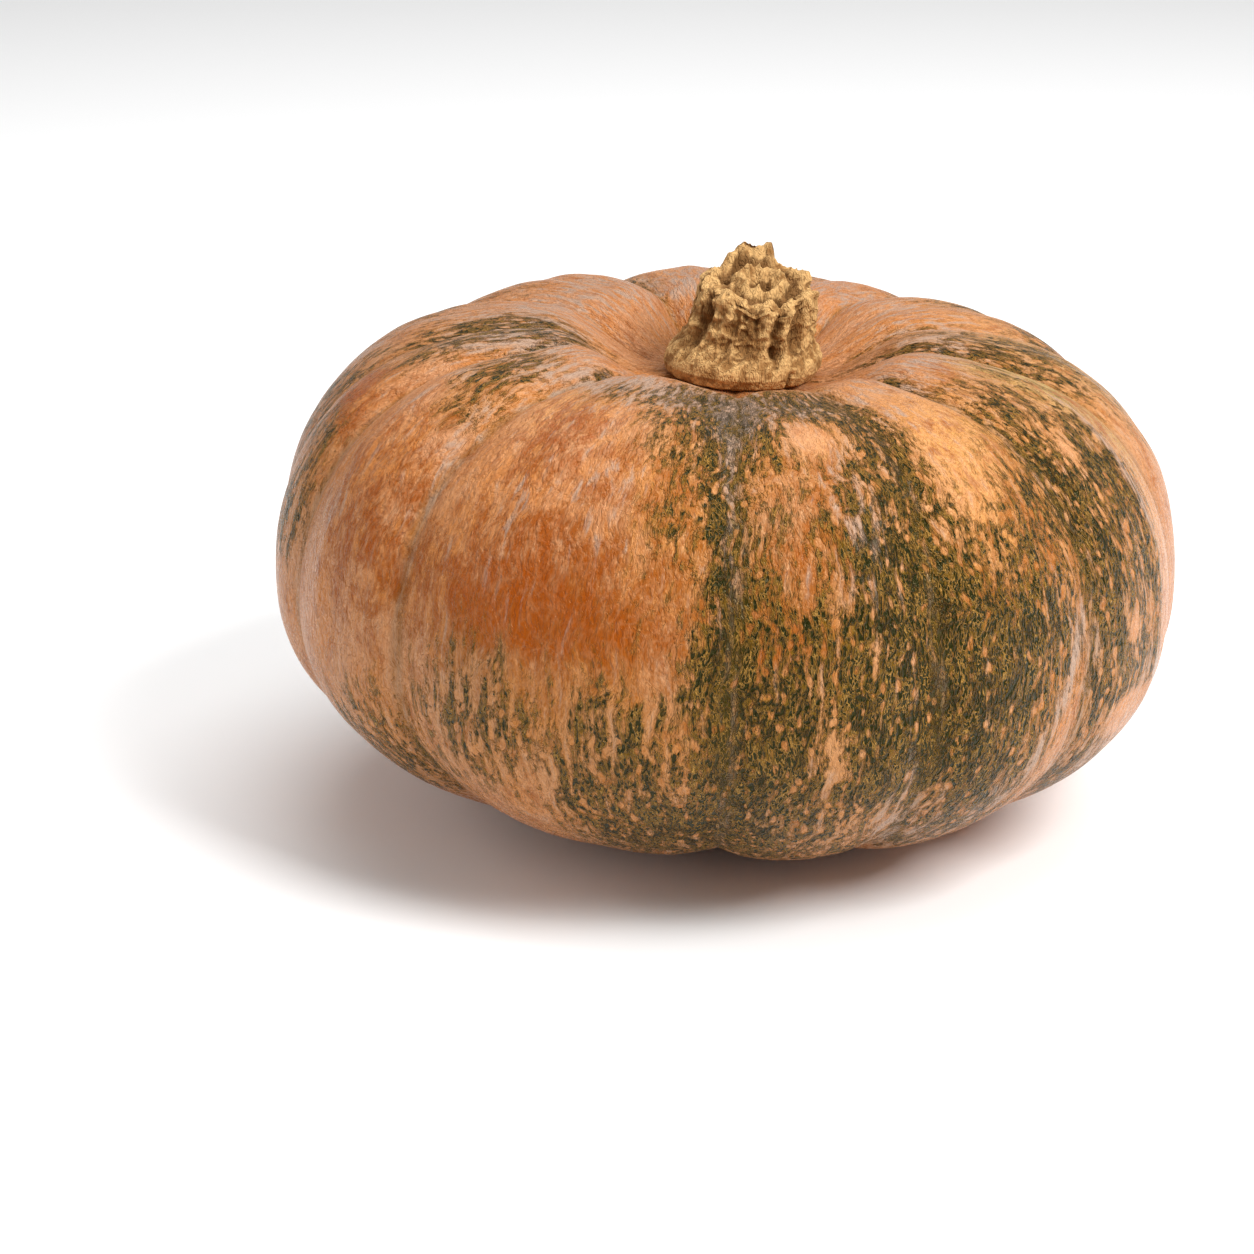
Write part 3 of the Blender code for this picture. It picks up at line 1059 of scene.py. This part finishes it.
@dataclass
class Studio:
    """A pale floor, soft lights and the camera."""

    elevation: float = math.radians(18.5)
    distance: float = 1.0
    orbit_height: float = 0.070
    lens: float = 102.8
    aim: tuple[float, float, float] = (-0.0273, -0.0066, 0.0503)
    floor_size: float = 12.0
    ambient: float = 0.36
    lights: tuple[Softbox, ...] = (
        Softbox("overhead", (0.1, 0.3, 1.5), 1.4, 17.5),
        Softbox("key", (0.80, -0.62, 1.05), 0.6, 23.0),
        Softbox("fill", (-1.4, -0.1, 0.8), 1.0, 4.5),
    )

    def floor(self) -> None:
        """The pale floor."""
        material, _, shader = new_material("pale floor")
        shader.inputs["Base Color"].default_value = (0.93, 0.93, 0.93, 1)
        shader.inputs["Roughness"].default_value = 0.9
        shader.inputs["Specular IOR Level"].default_value = 0.1
        bm = bmesh.new()
        bmesh.ops.create_grid(bm, x_segments=1, y_segments=1, size=self.floor_size / 2)
        mesh = bpy.data.meshes.new("floor")
        bm.to_mesh(mesh)
        bm.free()
        mesh.materials.append(material)
        floor = bpy.data.objects.new("floor", mesh)
        bpy.context.scene.collection.objects.link(floor)

    def light(self) -> None:
        """The soft lights and an even pale surround."""
        world = bpy.data.worlds.new("pale surround")
        world.use_nodes = True
        surround = world.node_tree.nodes["Background"].inputs
        surround["Color"].default_value = (1.0, 1.0, 1.0, 1)
        surround["Strength"].default_value = self.ambient
        bpy.context.scene.world = world
        middle = Vector((0, 0, self.orbit_height))
        for softbox in self.lights:
            data = bpy.data.lights.new(softbox.name, "AREA")
            data.size = softbox.size
            data.energy = softbox.power
            lamp = bpy.data.objects.new(softbox.name, data)
            lamp.location = softbox.place
            lamp.rotation_euler = (middle - lamp.location).to_track_quat("-Z", "Y").to_euler()
            bpy.context.scene.collection.objects.link(lamp)

    def camera(self) -> None:
        """The camera, in front of the fruit and a little above it."""
        data = bpy.data.cameras.new("camera")
        data.lens = self.lens
        camera = bpy.data.objects.new("camera", data)
        back = Vector((0, -math.cos(self.elevation), math.sin(self.elevation)))
        camera.location = Vector((0, 0, self.orbit_height)) + back * self.distance
        way = Vector(self.aim) - camera.location
        camera.rotation_euler = way.to_track_quat("-Z", "Y").to_euler()
        bpy.context.scene.collection.objects.link(camera)
        bpy.context.scene.camera = camera

    def build(self) -> None:
        """Everything around the pumpkin."""
        self.floor()
        self.light()
        self.camera()
        bpy.context.scene.view_settings.view_transform = "Standard"
        log.info("studio: floor, %d soft lights and camera", len(self.lights))


def rind_patches() -> dict[Tint, tuple[Patch, ...]]:
    """Where the rind is green, ripened to amber, pale, golden and lime, and where it has waxy haze and
    painted sheen.

    Each row is one Patch: azimuth, station, across, along, strength and, in some, slant.
    """
    green = (
        (-3, 250, 4.5, 14, 0.66),
        (-2, 228, 3, 14, 0.50),
        (-7, 210, 3.5, 16, 0.25),
        (-12, 240, 4, 10, 0.20),
        (-1.5, 200, 1.3, 26, 0.60),
        (-22, 256, 12, 7, 0.34),
        (-6, 262, 8, 9, 0.55),
        (14, 264, 10, 8, 0.55),
        (0, 256, 4, 12, 0.75),
        (0, 190, 1.8, 24, 0.45),
        (3, 258, 2, 10, 0.45),
        (5, 240, 3, 8, 0.20),
        (10, 233, 4, 7, 0.25),
        (12, 210, 3, 12, 0.20),
        (5, 205, 3, 18, 0.15),
        (0, 165, 2.5, 22, 0.78),
        (7, 172, 4, 10, 0.85),
        (6, 150, 5, 16, 0.85),
        (1, 125, 6, 16, 0.62),
        (12, 125, 7, 12, 0.50),
        (6, 103, 12, 12, 0.62),
        (-8, 108, 8, 14, 0.60),
        (30, 100, 10, 8, 0.40),
        (60, 118, 10, 10, 0.40),
        (14, 258, 4, 8, 0.45),
        (18, 212, 2.5, 20, 0.38),
        (24, 248, 3.4, 14, 0.72),
        (25, 222, 3.4, 15, 0.78),
        (20, 196, 4, 10, 0.80),
        (26, 190, 6, 12, 0.90),
        (25, 172, 9, 12, 0.97),
        (19, 160, 6, 12, 0.90),
        (33, 163, 6, 14, 0.88),
        (22, 143, 7, 10, 0.80),
        (33, 140, 5, 12, 0.80),
        (34, 118, 5, 8, 0.60),
        (38, 182, 3, 10, 0.60),
        (43, 198, 4, 16, 0.45),
        (45, 178, 3, 10, 0.35),
        (49, 215, 3, 8, 0.55),
        (51.5, 195, 1.5, 22, 0.60),
        (56, 238, 5, 10, 0.50),
        (54, 212, 2.5, 12, 0.55),
        (62, 215, 4, 9, 0.62),
        (61, 200, 5, 8, 0.75),
        (55, 182, 3, 12, 0.65),
        (63, 180, 3.5, 12, 0.62),
        (54, 152, 3, 10, 0.70),
        (61, 156, 5, 6, 0.62),
        (53, 122, 4, 10, 0.40),
        (68, 245, 3, 12, 0.22),
        (83, 255, 3, 22, 0.45),
        (92, 245, 4, 25, 0.50),
        (-55, 248, 5, 9, 0.55),
        (-51, 232, 4, 6, 0.30),
        (-77, 245, 3, 12, 0.50),
        (-77, 275, 4, 10, 0.50),
        (-76, 202, 3, 5, 0.55),
        (-76, 180, 4, 10, 0.50),
        (-88, 262, 5, 20, 0.60),
        (-69, 282, 2.5, 12, 0.75),
        (-44, 280, 2.0, 10, 0.60),
        (80, 282, 2.5, 12, 0.75),
        (106, 280, 2.5, 12, 0.60),
        (50, 268, 2.0, 10, 0.50),
        (-90, 200, 5, 14, 0.45),
        (-30, 150, 6, 14, 0.45),
        (-12, 140, 5, 18, 0.55),
        (-50, 120, 8, 16, 0.50),
        (112, 190, 7, 26, 0.80),
        (118, 162, 8, 34, 0.62),
        (128, 215, 4, 22, 0.65),
        (146, 180, 3, 35, 0.85),
        (156, 152, 9, 26, 0.50),
        (168, 235, 5, 16, 0.55),
        (178, 200, 4, 30, 0.80),
        (187, 166, 8, 30, 0.66),
        (205, 215, 3, 30, 0.60),
        (214, 165, 10, 26, 0.42),
        (230, 190, 8, 30, 0.62),
        (240, 150, 4, 26, 0.80),
        (252, 225, 5, 14, 0.45),
    )
    amber = (
        (-30, 179, 8, 9, 0.70),
        (-16, 179, 9, 9, 0.76),
        (-22, 194, 9, 7, 0.45),
        (-50, 185, 8, 14, 0.45),
        (-56, 215, 6, 16, 0.35),
        (-30, 235, 7, 12, 0.45),
        (-7, 215, 3.5, 16, 0.45),
        (-24, 215, 12, 12, 0.30),
        (13, 225, 3, 6, 0.45),
        (13, 205, 3, 10, 0.65),
        (5, 195, 4, 12, 0.40),
        (5, 180, 3, 6, 0.55),
        (1, 160, 3, 20, 0.45),
        (9, 180, 3, 4, 0.60),
        (34, 186, 3, 6, 0.45),
        (44, 202, 4, 14, 0.50),
        (64, 200, 3, 8, 0.30),
        (72, 222, 2, 8, 0.45),
        (-78, 216, 4, 7, 0.70),
        (-73, 208, 2, 5, 0.60),
        (60, 258, 4, 7, 0.25),
        (120, 215, 8, 12, 0.45),
        (160, 195, 8, 12, 0.55),
        (222, 200, 9, 14, 0.45),
        (262, 185, 8, 12, 0.50),
    )
    # Waxy haze, and painted light: the wide rows near the crown, at stations 264 to 268, paint a pale
    # sheen, and the row at azimuth 17 a greyish highlight.
    bloom_and_sheen = (
        (-0.5, 222, 0.6, 18, 0.80),
        (0, 257, 4, 13, 0.95),
        (3, 258, 2.0, 12, 0.80, 0.06),
        (-22, 245, 0.8, 18, 0.30),
        (-15, 262, 4, 6, 0.50),
        (-46, 222, 1.6, 18, 0.35, -0.10),
        (-62, 242, 3, 10, 0.45),
        (-74, 252, 3, 9, 0.50),
        (-35, 262, 6, 6, 0.45),
        (-29, 215, 1.0, 20, 0.25),
        (-17, 212, 4, 10, 0.30),
        (-58, 200, 1.0, 25, 0.35),
        (17, 210, 2.5, 14, 0.50),
        (13, 255, 5, 6, 0.60),
        (22, 122, 0.9, 16, 0.60, -0.05),
        (26, 118, 1.4, 20, 0.75, -0.10),
        (31, 112, 1.5, 10, 0.50),
        (45, 158, 0.8, 20, 0.50, 0.16),
        (42, 140, 0.9, 22, 0.45, 0.16),
        (49, 150, 1.0, 18, 0.45, 0.08),
        (38, 124, 1.5, 12, 0.50, 0.12),
        (47, 170, 3, 10, 0.30),
        (67, 205, 0.8, 22, 0.70),
        (66, 150, 4, 8, 0.50),
        (58, 130, 7, 9, 0.45),
        (33, 248, 3, 8, 0.30),
        (-66, 190, 2, 20, 0.40),
        (105, 225, 2, 25, 0.60),
        (143, 230, 2, 20, 0.60),
        (176, 235, 2, 20, 0.60),
        (206, 150, 3, 25, 0.50),
        (262, 225, 3, 20, 0.50),
        (180, 110, 40, 10, 0.35),
        (-60, 268, 45, 13, 0.50),
        (-20, 264, 25, 7, 0.30),
        (180, 268, 80, 14, 0.50),
        (65, 268, 20, 9, 0.45),
    )
    peach = (
        (12.5, 152, 1.4, 5, 0.9),
        (11, 159, 0.9, 3, 0.6),
        (13.5, 145, 1.2, 3, 0.6),
        (17.5, 176, 0.9, 3, 0.9),
        (57.5, 219, 1.3, 4, 0.8),
        (57, 201, 1.3, 3, 0.8),
        (59, 167, 1.2, 4, 0.7),
        (57, 156, 1.5, 3, 0.7),
        (13, 237, 2.5, 4, 0.8),
        (9, 167, 0.9, 3, 0.6),
        (14, 112, 5, 7, 0.4),
        (22, 128, 3, 6, 0.4),
        (60, 143, 4, 5, 0.6),
        (35, 262, 5, 6, 0.6),
        (-62, 225, 5, 8, 0.4),
        (-38, 228, 3, 20, 0.35),
        (-21, 238, 1.2, 14, 0.4),
        (150, 200, 3, 5, 0.6),
        (118, 168, 2, 5, 0.9),
        (183, 175, 2, 5, 0.8),
        (236, 172, 2, 6, 0.8),
    )
    gold = (
        (38, 232, 8, 20, 0.90),
        (46, 238, 4, 8, 0.80),
        (40, 200, 6, 12, 0.60),
        (13, 228, 3, 8, 0.50),
        (52, 235, 6, 14, 0.50),
        (70, 195, 4, 20, 0.55),
        (-28, 240, 8, 10, 0.30),
        (-36, 246, 3, 8, 0.60),
        (-7, 225, 4, 14, 0.45),
        (108, 240, 14, 16, 0.50),
        (200, 235, 10, 16, 0.50),
    )
    lime = (
        (71, 238, 5, 12, 0.95),
        (75, 215, 3, 10, 0.60),
        (68, 250, 4, 8, 0.50),
        (20, 257, 5, 7, 0.35),
        (-5, 262, 5, 6, 0.35),
        (93, 235, 5, 20, 0.60),
        (132, 225, 5, 16, 0.45),
        (172, 245, 5, 12, 0.45),
    )
    lists = {
        Tint.GREEN: green,
        Tint.AMBER: amber,
        Tint.BLOOM: bloom_and_sheen,
        Tint.PEACH: peach,
        Tint.GOLD: gold,
        Tint.LIME: lime,
    }
    return {tint: tuple(Patch(*numbers) for numbers in rows) for tint, rows in lists.items()}


def main() -> None:
    """Builds the studio, the fruit and the stem, in that order."""
    logging.basicConfig(level=logging.INFO, format="%(name)s: %(message)s")
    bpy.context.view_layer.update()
    Studio().build()
    wrinkles = worm_group()
    fruit = Fruit(patches=rind_patches())
    _, place = fruit.build(RindFinish().build(wrinkles))
    stem = Stem(seat_height=fruit.crest_height - fruit.seat_depth)
    stem.build(CorkFinish().build(wrinkles), place)


if __name__ == "__main__":
    main()
